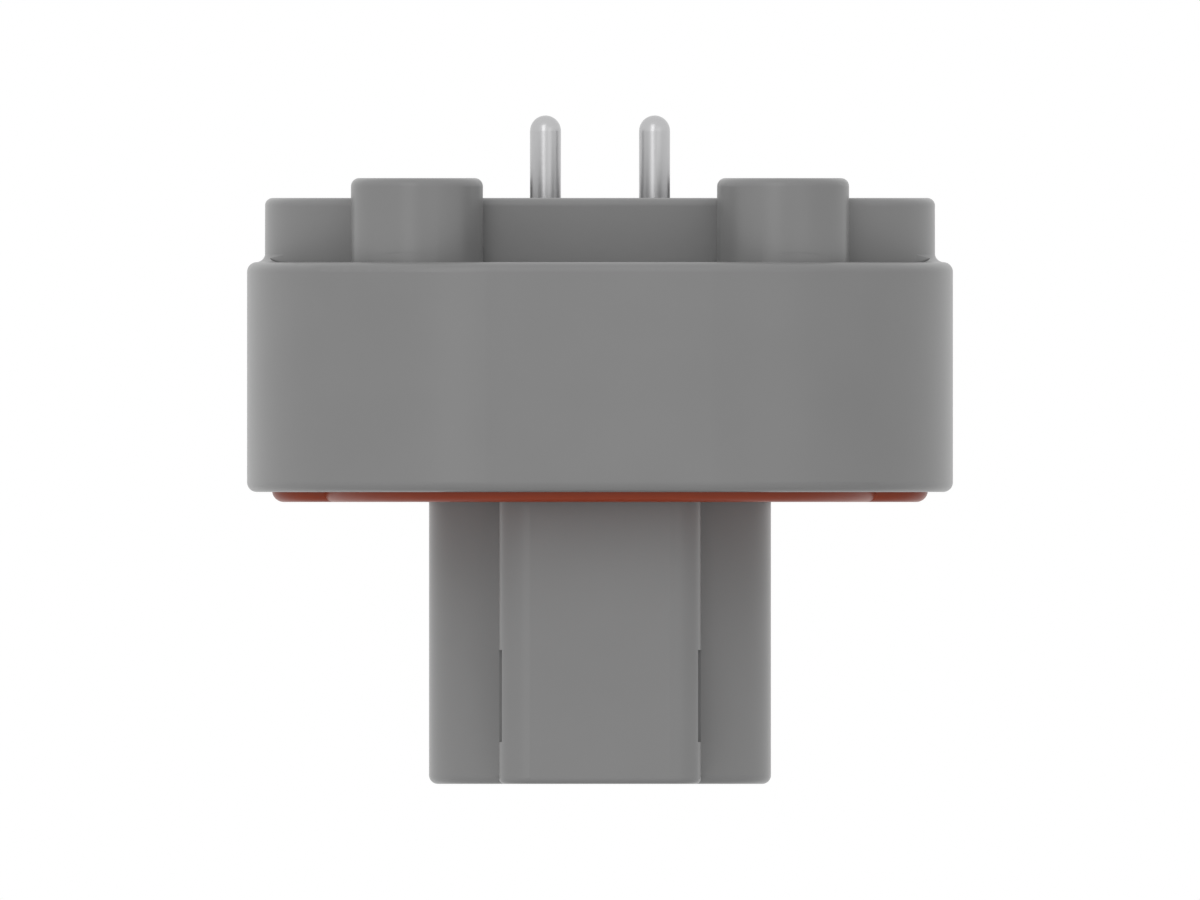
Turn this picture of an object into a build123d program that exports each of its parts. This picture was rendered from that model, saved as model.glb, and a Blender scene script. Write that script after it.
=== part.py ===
from build123d import *
import os

# Two-way sealed board header with a panel flange. Lengths are millimetres, angles degrees.
# +Z points to the circuit board, -Z to the mating plug, -Y to the latch side.
# The origin is the middle of the panel face, halfway between the two panel screws.

# Flange: a deep round-ended cup whose rim stands inside a thin lip
flange_length = 35.86
flange_depth = 24.38
flange_height = 11.68
flange_edge_radius = 0.5
lip_wall = 1.0
lip_edge_radius = 0.4
floor_level = 3.0

# Rim: the raised ring wall round the pin pocket
rim_end_step = 0.91
rim_depth = 11.4
rim_height = 14.94
rim_wall = 1.2
rim_edge_radius = 0.4
rim_inner_edge_radius = 0.3
rim_foot_radius = 0.45
rim_ledge = 0.1
core_depth = 10.5

# Four bosses that carry the circuit board, each tied to the lip by a web
boss_spacing_x = 18.6
boss_spacing_y = 14.0
boss_radius = 3.353
boss_height = 15.95
boss_edge_radius = 0.42
boss_swelling = 0.1
boss_swelling_height = 0.45
web_offset = 0.71
web_width = 3.56
pilot_radius = 1.25
pilot_depth = 9.0
pilot_chamfer = 0.3

# Pins and the tower that grips them
pin_spacing = 5.54
pin_radius = 0.7875
pin_board_end = 19.13
pin_mating_end = -10.2
pin_mating_round = 0.6
collar_radius = 1.15
collar_thickness = 1.5
tower_wall = 1.2
tower_height = 12.4
tower_edge_radius = 0.3

# Hood: the open socket for the mating plug
hood_width = 17.37
hood_depth = 11.0
hood_length = 14.83
hood_corner_radius = 4.3
hood_wall = 1.4
hood_mouth_radius = 0.45
hood_lead_in = 0.25
hood_cavity_top = 1.5

# Latch channel on the hood's front face, with a window in each side wall
channel_width = 10.26
channel_rise = 4.0
channel_side_wall = 1.2
channel_roof = 0.9
channel_corner_radius = 1.57
channel_mouth_radius = 0.3
window_bottom = -12.7
window_height = 4.67

# Gasket in a shallow recess of the panel face
gasket_end_margin = 3.45
gasket_side_margin = 1.31
gasket_ear_radius = 3.175
gasket_thickness = 1.61
gasket_proud = 0.51
gasket_edge_radius = 0.6
gasket_side_clearance = 0.15
gasket_hood_clearance = 0.25

# Headed blind inserts for the panel screws, moulded into bosses inside the rim
insert_end_distance = 4.44
insert_radius = 1.95
insert_head_radius = 2.2
insert_length = 7.6
insert_bore_radius = 1.25
insert_bore_depth = 6.4
insert_groove_count = 2
insert_groove_depth = 0.25
insert_groove_width = 1.2
insert_bore_chamfer = 0.25
insert_gasket_clearance = 0.1
insert_boss_wall = 1.5

foot_bite = 0.005
edge_tolerance = 0.0001

# Worked-out sizes and places. The hood and its channel together are centred on the flange.
rim_length = flange_length - 2 * rim_end_step
core_length = rim_length + 2 * rim_ledge
insert_spacing = flange_length - 2 * insert_end_distance
gasket_length = flange_length - 2 * gasket_end_margin
gasket_depth = flange_depth - 2 * gasket_side_margin
recess_depth = gasket_thickness - gasket_proud
hood_offset = channel_rise / 2
hood_front = hood_offset - hood_depth / 2
channel_front = hood_front - channel_rise
tower_radius = pin_radius + tower_wall
insert_boss_radius = insert_radius + insert_boss_wall
insert_boss_height = insert_length + insert_boss_wall
over = 1.0


def prism(outline, low, high):
    return extrude(Pos(0, 0, low) * outline, high - low)


def post(radius, low, high):
    return prism(Circle(radius), low, high)


def at_both(shape, spacing):
    return Pos(-spacing / 2, 0, 0) * shape + Pos(spacing / 2, 0, 0) * shape


def at_corners(shape):
    half = shape + mirror(shape, Plane.YZ)
    return half + mirror(half, Plane.XZ)


def level_edges(solid, level):
    def is_level(edge):
        box = edge.bounding_box()
        return max(abs(box.min.Z - level), abs(box.max.Z - level)) < edge_tolerance

    return solid.edges().filter_by(is_level)


# Outlines in plan. An inset moves the whole outline inwards.

def flange_plan(inset=0):
    return SlotOverall(flange_length - 2 * inset, flange_depth - 2 * inset)


def rim_plan(inset=0):
    return SlotOverall(rim_length - 2 * inset, rim_depth - 2 * inset)


def hood_plan(inset=0):
    width = hood_width - 2 * inset
    depth = hood_depth - 2 * inset
    return Pos(0, hood_offset) * RectangleRounded(width, depth, hood_corner_radius - inset)


def channel_plan(side_inset=0, front_inset=0):
    width = channel_width - 2 * side_inset
    front = channel_front + front_inset
    outline = RectangleRounded(width, hood_offset - front, channel_corner_radius - front_inset)
    return Pos(0, (front + hood_offset) / 2) * outline


def gasket_plans(inset=0):
    middle = SlotOverall(gasket_length - 2 * inset, gasket_depth - 2 * inset)
    ears = at_both(Circle(gasket_ear_radius - inset), insert_spacing)
    return middle, ears


# Features of the housing

def flange():
    body = prism(flange_plan(), 0, flange_height)
    body = fillet(level_edges(body, 0) + level_edges(body, flange_height), flange_edge_radius)
    body -= prism(flange_plan(lip_wall), floor_level, flange_height + over)
    lip = body.faces().sort_by(Axis.Z)[-1].inner_wires().edges()
    return fillet(lip, lip_edge_radius)


def rim_foot():
    # The hollow curve round an end of the rim where it rises from the level of the lip. It bites into both.
    outer = rim_depth / 2 + rim_foot_radius
    top = flange_height + rim_foot_radius
    root = flange_height - rim_foot_radius
    reach = rim_foot_radius + foot_bite
    curve = RadiusArc((outer, top - reach), (outer - reach, top), reach)
    sides = Polyline((outer - reach, top), (0, top), (0, root), (outer, root), (outer, top - reach))
    return revolve(Plane.XZ * make_face(curve + sides), Axis.Z)


def rim():
    # The ring stands on a core that is longer by a ledge at each end, and the moat lies round the core.
    # Its ends rise from the lip with a hollow foot, which the moat cuts off.
    core_plan = rim_plan() + SlotOverall(core_length, core_depth)
    core = prism(core_plan, floor_level, flange_height)
    ring = prism(rim_plan(), floor_level, rim_height)
    ring = fillet(level_edges(ring, rim_height), rim_edge_radius)
    moat = prism(flange_plan(lip_wall) - core_plan, floor_level, rim_height)
    feet = at_both(rim_foot(), rim_length - rim_depth)
    return core + ring + (feet - moat)


def board_boss():
    boss = post(boss_radius, floor_level, boss_height)
    return fillet(level_edges(boss, boss_height), boss_edge_radius)


def boss_foot():
    # Over the web the boss swells a little, and from outside the swelling shows as a low arch
    radius = boss_radius + boss_swelling
    arch = Plane.XZ * Pos(web_offset, flange_height) * Ellipse(web_width / 2, boss_swelling_height)
    return post(radius, floor_level, boss_height) & extrude(arch, radius)


def boss_corner():
    place = Pos(boss_spacing_x / 2, -boss_spacing_y / 2, 0)
    reach = flange_depth / 2
    web = place * Pos(web_offset, -reach / 2) * Rectangle(web_width, reach)
    web = prism(web & flange_plan(lip_wall / 2), floor_level, flange_height)
    return place * board_boss() + web + place * boss_foot()


def pin_pocket():
    # The space inside the rim's wall, up to the bosses. The wall's inner edge is rounded all round.
    wall = prism(rim_plan() - rim_plan(rim_wall), floor_level, rim_height)
    mouth = wall.faces().sort_by(Axis.Z)[-1].inner_wires().edges()
    pocket = prism(rim_plan(), floor_level, rim_height) - fillet(mouth, rim_inner_edge_radius)
    boss = Pos(boss_spacing_x / 2, -boss_spacing_y / 2, 0) * post(boss_radius, 0, boss_height)
    return pocket - at_corners(boss)


def pin_tower():
    plan = Pos(0, hood_offset) * SlotOverall(pin_spacing + 2 * tower_radius, 2 * tower_radius)
    tower = prism(plan, hood_cavity_top, tower_height)
    return fillet(level_edges(tower, tower_height), tower_edge_radius)


def insert_bosses():
    boss = post(insert_boss_radius, recess_depth, insert_boss_height)
    boss = fillet(level_edges(boss, insert_boss_height), tower_edge_radius)
    return at_both(boss, insert_spacing)


def gasket_recess():
    middle, ears = gasket_plans(-gasket_side_clearance)
    return prism(middle + ears, -over, recess_depth)


def hood():
    shell = prism(hood_plan(), -hood_length, floor_level)
    shell = fillet(level_edges(shell, -hood_length), hood_mouth_radius)
    channel = prism(channel_plan(), -hood_length, floor_level)
    return shell + fillet(level_edges(channel, -hood_length), channel_mouth_radius)


def hood_cavity():
    plug_space = prism(hood_plan(hood_wall), -hood_length - over, hood_cavity_top)
    latch_plan = channel_plan(channel_side_wall, channel_roof)
    return plug_space + prism(latch_plan, -hood_length - over, hood_cavity_top)


def ease_hood_mouth(body):
    rim_face = body.faces().sort_by(Axis.Z)[0]
    return fillet(rim_face.inner_wires().edges(), hood_lead_in)


def latch_windows():
    front = channel_front + channel_roof
    plan = Pos(0, (front + hood_front) / 2) * Rectangle(channel_width + over, hood_front - front)
    return prism(plan, window_bottom, window_bottom + window_height)


def pilot_holes():
    hole = post(pilot_radius, boss_height - pilot_depth, boss_height)
    mouth = Cone(pilot_radius, pilot_radius + pilot_chamfer, pilot_chamfer)
    hole += Pos(0, 0, boss_height - pilot_chamfer / 2) * mouth
    return at_corners(Pos(boss_spacing_x / 2, -boss_spacing_y / 2, 0) * hole)


# Metal pieces, each on its own axis

def contact_pin():
    # One collar is flush with the socket's floor and one with the top of the tower
    shank = post(pin_radius, pin_mating_end, pin_board_end - pin_radius)
    shank = fillet(level_edges(shank, pin_mating_end), pin_mating_round)
    for low in (hood_cavity_top, tower_height - collar_thickness):
        shank += post(collar_radius, low, low + collar_thickness)
    return shank + Pos(0, 0, pin_board_end - pin_radius) * Sphere(pin_radius)


def insert_blank():
    blank = post(insert_head_radius, 0, recess_depth) + post(insert_radius, 0, insert_length)
    groove_plan = Circle(insert_radius + over) - Circle(insert_radius - insert_groove_depth)
    groove_pitch = (insert_length - recess_depth) / (insert_groove_count + 1)
    for count in range(insert_groove_count):
        low = recess_depth + (count + 1) * groove_pitch - insert_groove_width / 2
        blank -= prism(groove_plan, low, low + insert_groove_width)
    return blank


def threaded_insert():
    blank = insert_blank() - post(insert_bore_radius, -over, insert_bore_depth)
    mouth = level_edges(blank, 0).sort_by(SortBy.RADIUS)[0]
    return chamfer(mouth, insert_bore_chamfer)


def round_seal(plan):
    seal = prism(plan, -gasket_proud, recess_depth)
    return fillet(level_edges(seal, -gasket_proud), gasket_edge_radius)


def flange_gasket():
    middle, ears = gasket_plans()
    seal = round_seal(middle) + round_seal(ears)
    opening = hood_plan(-gasket_hood_clearance) + channel_plan(-gasket_hood_clearance, -gasket_hood_clearance)
    holes = at_both(Circle(insert_head_radius + insert_gasket_clearance), insert_spacing)
    return seal - prism(opening + holes, -gasket_proud - over, recess_depth + over)


def housing():
    body = flange() + rim() + at_corners(boss_corner()) - pin_pocket()
    body = ease_hood_mouth(body - gasket_recess() + hood() - hood_cavity())
    body += pin_tower() + insert_bosses()
    body -= latch_windows() + pilot_holes()
    body -= at_both(insert_blank(), insert_spacing)
    body -= Pos(0, hood_offset, 0) * at_both(contact_pin(), pin_spacing)
    return body


pieces = {"housing": housing(), "flange_gasket": flange_gasket()}
for side, sign in (("left", -1), ("right", 1)):
    pieces["contact_pin_" + side] = Pos(sign * pin_spacing / 2, hood_offset, 0) * contact_pin()
    pieces["threaded_insert_" + side] = Pos(sign * insert_spacing / 2, 0, 0) * threaded_insert()

os.makedirs("parts", exist_ok=True)
for name, piece in pieces.items():
    print(name, len(piece.solids()), piece.is_valid, round(piece.volume, 2))
    export_step(piece, "parts/" + name + ".step")
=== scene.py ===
import math

import bpy
import numpy as np
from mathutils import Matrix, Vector


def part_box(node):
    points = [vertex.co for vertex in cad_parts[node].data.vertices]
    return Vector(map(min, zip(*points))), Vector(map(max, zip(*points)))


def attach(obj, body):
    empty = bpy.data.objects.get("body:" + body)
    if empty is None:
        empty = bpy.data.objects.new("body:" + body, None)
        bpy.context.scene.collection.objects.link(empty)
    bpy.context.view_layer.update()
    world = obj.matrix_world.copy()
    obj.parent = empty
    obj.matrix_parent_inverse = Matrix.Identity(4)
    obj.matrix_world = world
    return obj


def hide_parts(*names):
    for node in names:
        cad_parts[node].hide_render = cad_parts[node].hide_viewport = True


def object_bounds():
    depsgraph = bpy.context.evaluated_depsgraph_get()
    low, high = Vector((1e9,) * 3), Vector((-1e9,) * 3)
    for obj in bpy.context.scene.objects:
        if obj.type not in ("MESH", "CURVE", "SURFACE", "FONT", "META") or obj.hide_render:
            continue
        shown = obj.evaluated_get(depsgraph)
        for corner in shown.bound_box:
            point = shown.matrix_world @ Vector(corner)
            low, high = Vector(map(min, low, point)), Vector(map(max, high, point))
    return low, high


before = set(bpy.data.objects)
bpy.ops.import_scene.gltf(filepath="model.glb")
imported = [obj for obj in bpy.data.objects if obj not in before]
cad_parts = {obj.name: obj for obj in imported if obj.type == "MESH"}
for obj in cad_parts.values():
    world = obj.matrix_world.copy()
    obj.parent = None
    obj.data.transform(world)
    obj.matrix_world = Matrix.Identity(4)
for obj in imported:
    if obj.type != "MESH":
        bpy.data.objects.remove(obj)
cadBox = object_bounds()
millimetre = 0.001
print("stage: frame loaded,", len(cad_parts), "moulded and turned pieces")


def hexToLinear(code):
    # An sRGB colour such as "#858585" becomes the linear colour that a shader works in
    channels = [int(code[start:start + 2], 16) / 255 for start in (1, 3, 5)]
    linear = [c / 12.92 if c <= 0.04045 else ((c + 0.055) / 1.055) ** 2.4 for c in channels]
    return (*linear, 1.0)


def addNode(tree, kind, inputs=None, **settings):
    # One node with its own settings; an input takes a plain value, or the socket that feeds it
    node = tree.nodes.new(kind)
    for name, value in settings.items():
        setattr(node, name, value)
    for name, value in (inputs or {}).items():
        if isinstance(value, bpy.types.NodeSocket):
            tree.links.new(value, node.inputs[name])
        else:
            node.inputs[name].default_value = value
    return node


def newSurface(name):
    # An empty material with its output node, and the object coordinates that every pattern reads
    material = bpy.data.materials.new(name)
    material.use_nodes = True
    tree = material.node_tree
    tree.nodes.clear()
    output = addNode(tree, "ShaderNodeOutputMaterial")
    place = addNode(tree, "ShaderNodeTexCoord").outputs["Object"]
    return material, tree, output, place


def blendRange(tree, value, low, high):
    # Spreads a 0 to 1 pattern over low to high
    spread = addNode(tree, "ShaderNodeMapRange", {"Value": value, "To Min": low, "To Max": high})
    return spread.outputs["Result"]


def latheRings(tree, place, look):
    # Rings round the part's upright axis, one per lathe line. A wave texture turns 20 radians per unit.
    scale = 2 * math.pi / (20 * look["latheLine"])
    return addNode(tree, "ShaderNodeTexWave", {
        "Vector": place, "Scale": scale, "Distortion": look["lineWander"]},
        bands_direction="Z", wave_profile="SIN")


# Materials

plasticLook = {
    "colour": "#7B7B7B",
    "lighterColour": "#808080",
    "roughness": (0.28, 0.34),
    "ior": 1.5,
    "flowSize": 4.0 * millimetre,      # slow cloudiness where the melt flowed
    "grainSize": 0.12 * millimetre,    # spark-eroded mould texture, drawn coarser than the real 0.03 mm
    "grainDepth": 0.0016 * millimetre,
}


def mouldedNylon():
    # Glass-filled nylon from a spark-eroded mould: an even mid grey with a satin skin, which only mirrors
    # sharply at a grazing look
    material, tree, output, place = newSurface("mouldedNylon")
    flow = addNode(tree, "ShaderNodeTexNoise", {
        "Vector": place, "Scale": 1 / plasticLook["flowSize"], "Detail": 2.0, "Roughness": 0.4})
    grain = addNode(tree, "ShaderNodeTexNoise", {
        "Vector": place, "Scale": 1 / plasticLook["grainSize"], "Detail": 3.0, "Roughness": 0.6})
    colour = addNode(tree, "ShaderNodeMix", {
        "Factor": flow.outputs["Fac"], "A": hexToLinear(plasticLook["colour"]),
        "B": hexToLinear(plasticLook["lighterColour"])}, data_type="RGBA")
    skin = addNode(tree, "ShaderNodeBump", {
        "Height": grain.outputs["Fac"], "Distance": plasticLook["grainDepth"], "Strength": 1.0})
    shader = addNode(tree, "ShaderNodeBsdfPrincipled", {
        "Base Color": colour.outputs["Result"],
        "Roughness": blendRange(tree, grain.outputs["Fac"], *plasticLook["roughness"]),
        "IOR": plasticLook["ior"], "Normal": skin.outputs["Normal"]})
    tree.links.new(shader.outputs["BSDF"], output.inputs["Surface"])
    return material


siliconeLook = {
    "colour": "#93350B",
    "darkerColour": "#892F09",
    "roughness": (0.30, 0.38),
    "ior": 1.36,
    "cloudSize": 1.5 * millimetre,
    "grainSize": 0.08 * millimetre,
    "grainDepth": 0.0012 * millimetre,
}


def mouldedSilicone():
    # Compression-moulded silicone: a warm orange red with a soft, slightly greasy shine
    material, tree, output, place = newSurface("mouldedSilicone")
    cloud = addNode(tree, "ShaderNodeTexNoise", {
        "Vector": place, "Scale": 1 / siliconeLook["cloudSize"], "Detail": 2.0, "Roughness": 0.5})
    grain = addNode(tree, "ShaderNodeTexNoise", {
        "Vector": place, "Scale": 1 / siliconeLook["grainSize"], "Detail": 2.0, "Roughness": 0.5})
    colour = addNode(tree, "ShaderNodeMix", {
        "Factor": cloud.outputs["Fac"], "A": hexToLinear(siliconeLook["colour"]),
        "B": hexToLinear(siliconeLook["darkerColour"])}, data_type="RGBA")
    skin = addNode(tree, "ShaderNodeBump", {
        "Height": grain.outputs["Fac"], "Distance": siliconeLook["grainDepth"], "Strength": 1.0})
    shader = addNode(tree, "ShaderNodeBsdfPrincipled", {
        "Base Color": colour.outputs["Result"],
        "Roughness": blendRange(tree, cloud.outputs["Fac"], *siliconeLook["roughness"]),
        "IOR": siliconeLook["ior"], "Normal": skin.outputs["Normal"]})
    tree.links.new(shader.outputs["BSDF"], output.inputs["Surface"])
    return material


platingLook = {
    "colour": "#BCBCBD",
    "roughness": (0.29, 0.34),
    "latheLine": 0.377 * millimetre,    # drawn much coarser than the real 0.02 mm feed
    "lineDepth": 0.0003 * millimetre,
    "lineWander": 0.4,
    "cloudSize": 0.8 * millimetre,
}


def nickelPlate():
    # Nickel over turned copper alloy: bright, with faint rings from the lathe that soften the highlight
    # lengthways
    material, tree, output, place = newSurface("nickelPlate")
    rings = latheRings(tree, place, platingLook)
    cloud = addNode(tree, "ShaderNodeTexNoise", {
        "Vector": place, "Scale": 1 / platingLook["cloudSize"], "Detail": 2.0, "Roughness": 0.5})
    skin = addNode(tree, "ShaderNodeBump", {
        "Height": rings.outputs["Fac"], "Distance": platingLook["lineDepth"], "Strength": 1.0})
    shader = addNode(tree, "ShaderNodeBsdfPrincipled", {
        "Base Color": hexToLinear(platingLook["colour"]), "Metallic": 1.0,
        "Roughness": blendRange(tree, cloud.outputs["Fac"], *platingLook["roughness"]),
        "Normal": skin.outputs["Normal"]})
    tree.links.new(shader.outputs["BSDF"], output.inputs["Surface"])
    return material


brassLook = {
    "colour": "#C9A568",
    "dullColour": "#B08C52",
    "roughness": (0.26, 0.42),
    "latheLine": 0.503 * millimetre,    # drawn much coarser than the real 0.05 mm feed
    "lineDepth": 0.0010 * millimetre,
    "lineWander": 0.5,
    "cloudSize": 0.9 * millimetre,
}


def turnedBrass():
    # Free-cutting brass as it leaves the lathe: fine rings, and duller where the air has reached it
    material, tree, output, place = newSurface("turnedBrass")
    rings = latheRings(tree, place, brassLook)
    cloud = addNode(tree, "ShaderNodeTexNoise", {
        "Vector": place, "Scale": 1 / brassLook["cloudSize"], "Detail": 3.0, "Roughness": 0.5})
    colour = addNode(tree, "ShaderNodeMix", {
        "Factor": cloud.outputs["Fac"], "A": hexToLinear(brassLook["colour"]),
        "B": hexToLinear(brassLook["dullColour"])}, data_type="RGBA")
    skin = addNode(tree, "ShaderNodeBump", {
        "Height": rings.outputs["Fac"], "Distance": brassLook["lineDepth"], "Strength": 1.0})
    shader = addNode(tree, "ShaderNodeBsdfPrincipled", {
        "Base Color": colour.outputs["Result"], "Metallic": 1.0,
        "Roughness": blendRange(tree, cloud.outputs["Fac"], *brassLook["roughness"]),
        "Normal": skin.outputs["Normal"]})
    tree.links.new(shader.outputs["BSDF"], output.inputs["Surface"])
    return material


nylon = mouldedNylon()
silicone = mouldedSilicone()
nickel = nickelPlate()
brass = turnedBrass()
finishOfNode = {
    "housing": nylon,
    "flange_gasket": silicone,
    "contact_pin_left": nickel,
    "contact_pin_right": nickel,
    "threaded_insert_left": brass,
    "threaded_insert_right": brass,
}
for node, finish in finishOfNode.items():
    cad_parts[node].material_slots[0].material = finish
print("stage: materials on", len(finishOfNode), "pieces")


# Threaded inserts

insertShape = {
    "boreRadius": 1.25 * millimetre,      # the thread's crests
    "threadDepth": 0.26 * millimetre,
    "threadPitch": 0.5 * millimetre,
    "flankPeak": 1.35,                    # in thread depths, and cut off at 1, which leaves a flat root
    "flankSlope": 4.0,                    # thread depths per pitch
    "boreDepth": 6.4 * millimetre,
    "boreEndRadius": 1.225 * millimetre,
    "mouthChamfer": 0.25 * millimetre,
    "mouthRadius": 1.552 * millimetre,
    "headRadius": 2.2 * millimetre,
    "headHeight": 1.1 * millimetre,
    "bodyRadius": 1.95 * millimetre,
    "length": 7.6 * millimetre,
    "topRadius": 1.755 * millimetre,
    "grooveCount": 2,
    "grooveWidth": 1.2 * millimetre,
    "grooveDepth": 0.25 * millimetre,
    "knurlDepth": 0.09 * millimetre,
    "knurlHeight": 0.8078 * millimetre,   # of one diamond
    "knurlTeeth": 24,
    "knurlRows": 14,                      # per band
    "around": 144,
    "rowsPerPitch": 12,
    "creaseAngle": 35,
}


def insertProfile(shape):
    # The half section as a path of radius and height: up from the bore's closed end to its mouth, over the
    # head's face, and back along the outside to the closed end. The third column is 1 on the thread and the
    # fourth is 1 on the knurl.
    rows = int(round(shape["boreDepth"] / shape["threadPitch"] * shape["rowsPerPitch"]))
    bore = np.zeros((rows, 4))
    bore[:, 0] = shape["boreRadius"]
    bore[:, 1] = np.linspace(shape["boreDepth"], shape["mouthChamfer"], rows)
    bore[:, 2] = 1.0
    closedEnd = [[0, shape["boreDepth"], 0, 0], [shape["boreEndRadius"], shape["boreDepth"], 0, 0]]
    mouth = [[shape["mouthRadius"], 0, 0, 0]]
    head = [[shape["headRadius"], 0, 0, 0], [shape["headRadius"], shape["headHeight"], 0, 0]]
    body = []
    groovePitch = (shape["length"] - shape["headHeight"]) / (shape["grooveCount"] + 1)
    start = shape["headHeight"]
    for count in range(shape["grooveCount"]):
        low = shape["headHeight"] + (count + 1) * groovePitch - shape["grooveWidth"] / 2
        body += knurlBand(shape, start, low)
        floor = shape["bodyRadius"] - shape["grooveDepth"]
        body += [[floor, low, 0, 0], [floor, low + shape["grooveWidth"], 0, 0]]
        start = low + shape["grooveWidth"]
    body += knurlBand(shape, start, shape["length"])
    top = [[shape["topRadius"], shape["length"], 0, 0], [0, shape["length"], 0, 0]]
    return np.concatenate([closedEnd, bore, mouth, head, body, top])


def knurlBand(shape, low, high):
    # A stretch of the outside with diamond knurling, plain at both of its ends
    heights = np.linspace(low, high, shape["knurlRows"])
    band = np.zeros((len(heights), 4))
    band[:, 0] = shape["bodyRadius"]
    band[:, 1] = heights
    band[1:-1, 3] = 1.0
    return band.tolist()


def makeInsert(name, centreX, shape):
    # A point is radius and height from the profile at each angle. On the bore the radius grows by a
    # flat-topped wave of height over pitch less angle over a full turn, which is a right-hand helix. On the
    # outside it shrinks by the product of two slanting waves, which leaves diamonds.
    profile = insertProfile(shape)
    angle = np.linspace(0, 2 * np.pi, shape["around"], endpoint=False)
    radius, height, thread, knurl = (profile[:, column][:, None] for column in range(4))
    turn = angle[None, :]
    phase = (height / shape["threadPitch"] - turn / (2 * np.pi)) % 1
    flank = np.clip(shape["flankPeak"] - np.abs(phase - 0.5) * shape["flankSlope"], 0, 1)
    deep = shape["threadDepth"] * flank * thread
    slant = np.pi * height / shape["knurlHeight"]
    teeth = shape["knurlTeeth"] / 2 * turn
    diamonds = np.abs(np.sin(teeth + slant) * np.sin(teeth - slant))
    radii = radius + deep - shape["knurlDepth"] * (1 - diamonds) * knurl
    x = centreX + radii * np.cos(turn)
    y = radii * np.sin(turn)
    z = np.broadcast_to(height, radii.shape)
    return skinPiece(name, x, y, z)


def skinPiece(name, x, y, z):
    # Joins a grid of rings into one closed skin. The first and last rings have no radius and become single
    # points.
    rings, around = x.shape
    inner = np.stack([x[1:-1], y[1:-1], z[1:-1]], axis=-1).reshape(-1, 3)
    poles = np.array([[x[0, 0], y[0, 0], z[0, 0]], [x[-1, 0], y[-1, 0], z[-1, 0]]])
    points = np.concatenate([inner, poles])
    row = np.arange(rings - 3)[:, None] * around
    column = np.arange(around)[None, :]
    after = (column + 1) % around
    quads = np.stack([row + column, row + after, row + around + after, row + around + column], axis=-1)
    firstPole, lastPole = len(inner), len(inner) + 1
    lastRow = (rings - 3) * around
    ring = np.arange(around)
    nextRing = (ring + 1) % around
    faces = quads.reshape(-1, 4).tolist()
    faces += [[firstPole, b, a] for a, b in zip(ring.tolist(), nextRing.tolist())]
    faces += [[lastPole, lastRow + a, lastRow + b] for a, b in zip(ring.tolist(), nextRing.tolist())]
    mesh = bpy.data.meshes.new(name)
    mesh.from_pydata(points.tolist(), [], faces)
    mesh.validate()
    piece = bpy.data.objects.new(name, mesh)
    bpy.context.scene.collection.objects.link(piece)
    return piece


def shadeByAngle(piece, degrees):
    # Smooth across gentle turns and crisp across sharp ones
    with bpy.context.temp_override(object=piece, active_object=piece, selected_editable_objects=[piece]):
        bpy.ops.object.shade_smooth_by_angle(angle=math.radians(degrees))


for side in ("left", "right"):
    node = "threaded_insert_" + side
    low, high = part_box(node)
    insert = makeInsert("brassInsert_" + side, (low.x + high.x) / 2, insertShape)
    insert.data.materials.append(brass)
    shadeByAngle(insert, insertShape["creaseAngle"])
    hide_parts(node)
    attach(insert, "root")
print("stage: threaded inserts made")


# Floor, light and camera

floorLook = {
    "radius": 0.6,
    "corners": 96,
    "colour": "#E4E4E2",
    "fadeFrom": 0.05,       # metres from the part's middle, where the floor starts to turn into the white
    "fadeTo": 0.22,
}


def paleFloor(level):
    # A glass table at the height of the part's lowest face. Seen from above it takes the part's shadow and
    # fades to the white background away from the part. Light from below comes up through it, and so does a
    # look from below, which shows the part's underside.
    angle = np.linspace(0, 2 * np.pi, floorLook["corners"], endpoint=False)
    edge = np.stack([np.cos(angle), np.sin(angle), np.zeros_like(angle)], axis=-1) * floorLook["radius"]
    mesh = bpy.data.meshes.new("paleFloor")
    mesh.from_pydata((edge + np.array([0, 0, level])).tolist(), [], [list(range(len(angle)))])
    floor = bpy.data.objects.new("paleFloor", mesh)
    bpy.context.scene.collection.objects.link(floor)
    material, tree, output, place = newSurface("frostedGlass")
    reach = addNode(tree, "ShaderNodeVectorMath", {0: place}, operation="LENGTH").outputs["Value"]
    fade = addNode(tree, "ShaderNodeMapRange", {
        "Value": reach, "From Min": floorLook["fadeFrom"], "From Max": floorLook["fadeTo"]},
        interpolation_type="SMOOTHSTEP").outputs["Result"]
    card = addNode(tree, "ShaderNodeBsdfDiffuse", {"Color": hexToLinear(floorLook["colour"])})
    white = addNode(tree, "ShaderNodeEmission", {"Color": (1, 1, 1, 1), "Strength": 1.0})
    clear = addNode(tree, "ShaderNodeBsdfTransparent")
    path = addNode(tree, "ShaderNodeLightPath")
    below = addNode(tree, "ShaderNodeNewGeometry").outputs["Backfacing"]
    fromAbove = addNode(tree, "ShaderNodeMath", {
        0: path.outputs["Is Camera Ray"], 1: below}, operation="SUBTRACT", use_clamp=True).outputs["Value"]
    card = mixShaders(tree, fade, card.outputs["BSDF"], white.outputs["Emission"])
    both = mixShaders(tree, fromAbove, clear.outputs["BSDF"], card)
    tree.links.new(both, output.inputs["Surface"])
    mesh.materials.append(material)


def mixShaders(tree, share, first, second):
    mixed = addNode(tree, "ShaderNodeMixShader", {"Fac": share})
    tree.links.new(first, mixed.inputs[1])
    tree.links.new(second, mixed.inputs[2])
    return mixed.outputs["Shader"]


def seenDirectly(tree):
    # 1 for what the camera sees, straight or by a reflection or through glass, and 0 for light on a matt
    # surface
    path = addNode(tree, "ShaderNodeLightPath")
    seen = path.outputs["Is Camera Ray"]
    for ray in ("Is Glossy Ray", "Is Transmission Ray"):
        either = addNode(tree, "ShaderNodeMath", {0: seen, 1: path.outputs[ray]}, operation="MAXIMUM")
        seen = either.outputs["Value"]
    return seen


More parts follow.
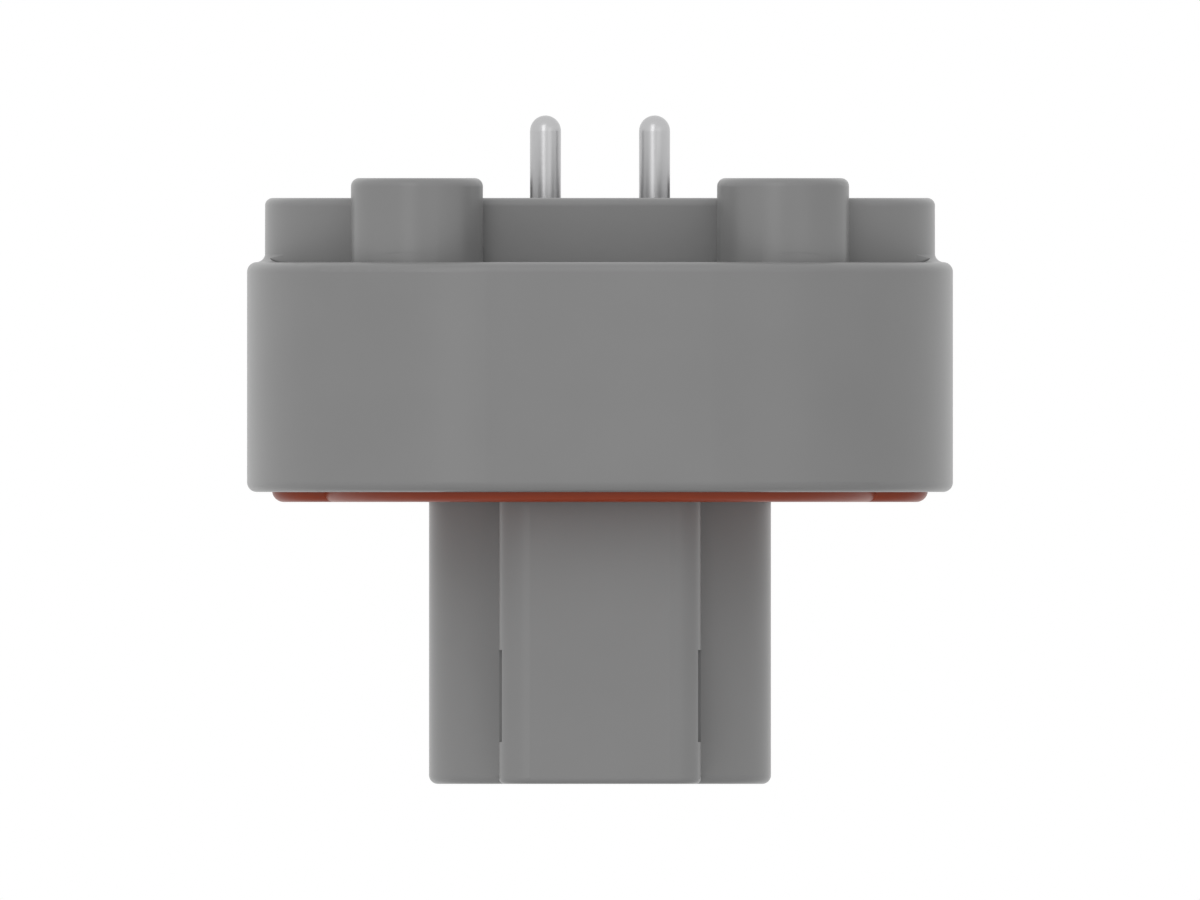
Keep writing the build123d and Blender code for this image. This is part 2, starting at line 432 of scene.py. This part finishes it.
# Each band of the studio is brightest at its own height, which is -1 straight below and 1 overhead, and
# fades out at the band's reach above and below. "right" and "front" say how much brighter it is on that side.
bandReach = 0.5
skyBands = {
    "overhead": {"height": 1.0, "level": 0.8, "right": 0.0, "front": 0.0},
    "highRing": {"height": 0.5, "level": 1.43, "right": -0.17, "front": 0.05},
    "horizon": {"height": 0.0, "level": 0.1, "right": 0.0, "front": 0.0},
    "lowRing": {"height": -0.5, "level": 0.92, "right": -0.17, "front": 0.42},
    "underneath": {"height": -1.0, "level": 0.25, "right": 0.0, "front": 0.0},
}
backgroundLevel = 1.0


def studioSky():
    # Soft light from all round, fixed to the room, and plain white wherever the studio itself is seen
    world = bpy.data.worlds.new("studioSky")
    bpy.context.scene.world = world
    world.use_nodes = True
    tree = world.node_tree
    tree.nodes.clear()
    output = addNode(tree, "ShaderNodeOutputWorld")
    direction = addNode(tree, "ShaderNodeTexCoord").outputs["Generated"]
    aim = addNode(tree, "ShaderNodeSeparateXYZ", {"Vector": direction}).outputs
    total = 0.0
    for band in skyBands.values():
        away = addNode(tree, "ShaderNodeMath", {
            0: aim["Z"], 1: band["height"]}, operation="SUBTRACT").outputs["Value"]
        away = addNode(tree, "ShaderNodeMath", {0: away}, operation="ABSOLUTE").outputs["Value"]
        share = addNode(tree, "ShaderNodeMapRange", {
            "Value": away, "From Max": bandReach, "To Min": 1.0, "To Max": 0.0})
        level = addNode(tree, "ShaderNodeMath", {
            0: aim["X"], 1: band["right"], 2: band["level"]}, operation="MULTIPLY_ADD").outputs["Value"]
        level = addNode(tree, "ShaderNodeMath", {
            0: aim["Y"], 1: -band["front"], 2: level}, operation="MULTIPLY_ADD").outputs["Value"]
        total = addNode(tree, "ShaderNodeMath", {
            0: share.outputs["Result"], 1: level, 2: total}, operation="MULTIPLY_ADD").outputs["Value"]
    lit = addNode(tree, "ShaderNodeBackground", {"Color": (1, 1, 1, 1), "Strength": total})
    seen = addNode(tree, "ShaderNodeBackground", {"Color": (1, 1, 1, 1), "Strength": backgroundLevel})
    mixed = mixShaders(tree, seenDirectly(tree), lit.outputs["Background"], seen.outputs["Background"])
    tree.links.new(mixed, output.inputs["Surface"])


softboxes = {
    "keyBox": {"from": (-0.13, -0.48, 0.22), "width": 0.20, "height": 0.50, "power": 0.35},
    "fillBox": {"from": (0.27, -0.43, 0.10), "width": 0.24, "height": 0.30, "power": 0.063},
}


def addSoftbox(name, look, target):
    data = bpy.data.lights.new(name, "AREA")
    data.shape = "RECTANGLE"
    data.size = look["width"]
    data.size_y = look["height"]
    data.energy = look["power"]
    lamp = bpy.data.objects.new(name, data)
    bpy.context.scene.collection.objects.link(lamp)
    lamp.location = look["from"]
    lamp.rotation_euler = (target - Vector(look["from"])).to_track_quat("-Z", "Y").to_euler()


cameraView = {
    "photoWidth": 1200,                     # pixels
    "photoHeight": 900,
    "pixel": 0.0508 * millimetre,           # the size of a photo pixel on the part
    "panelFaceRow": 492,                    # the pixel row of the flange's lower face, at height 0
    "distance": 0.4,
    "nearest": 0.01,                        # metres from the camera that it shows
    "farthest": 10.0,
}


def levelCamera():
    # A long lens far away, level with the part and square to its latch side
    data = bpy.data.cameras.new("levelCamera")
    data.type = "ORTHO"
    data.ortho_scale = cameraView["photoWidth"] * cameraView["pixel"]
    data.clip_start = cameraView["nearest"]
    data.clip_end = cameraView["farthest"]
    camera = bpy.data.objects.new("levelCamera", data)
    bpy.context.scene.collection.objects.link(camera)
    height = (cameraView["panelFaceRow"] - cameraView["photoHeight"] / 2) * cameraView["pixel"]
    camera.location = (0.0, -cameraView["distance"], height)
    camera.rotation_euler = (math.radians(90), 0, 0)
    bpy.context.scene.camera = camera


low, high = cadBox
paleFloor(low.z)
studioSky()
middle = (low + high) / 2
for name, look in softboxes.items():
    addSoftbox(name, look, middle)
levelCamera()
bpy.context.scene.view_settings.view_transform = "Standard"
print("stage: floor, light and camera set")
